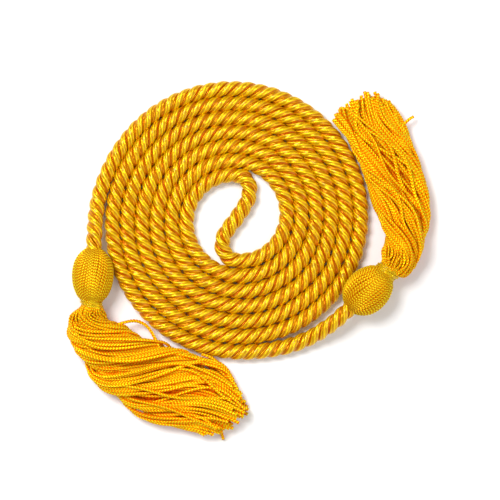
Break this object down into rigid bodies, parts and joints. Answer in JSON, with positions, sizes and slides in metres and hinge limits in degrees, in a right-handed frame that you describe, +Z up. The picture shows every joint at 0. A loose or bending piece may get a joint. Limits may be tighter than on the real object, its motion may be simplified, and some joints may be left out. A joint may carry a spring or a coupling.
{
  "type": "honor cord",
  "caption": "Twisted rope with a tassel on each end, worn over a gown, laid flat in a double spiral with an S bend in the middle.",
  "frame": {"origin": "middle of the coil, on the surface that the cord lies on, under the S bend", "axes": "+Z up from the surface, +X from the left tassel to the right tassel, +Y away from the side where the left tassel's skirt lies"},
  "size_m": [0.1555, 0.1523, 0.019],
  "materials": {
    "cord_rayon": "satin twisted rayon",
    "chainette_rayon": "knitted rayon strands",
    "binding_thread": "wound rayon thread"
  },
  "bodies": {
    "root": {"cord_left_run": "cord_rayon", "cord_coil": "cord_rayon", "cord_right_run": "cord_rayon", "left_tassel_head": "chainette_rayon", "left_neck_binding": "binding_thread", "left_tassel_skirt": "chainette_rayon", "right_tassel_head": "chainette_rayon", "right_neck_binding": "binding_thread", "right_tassel_skirt": "chainette_rayon"}
  },
  "joints": []
}
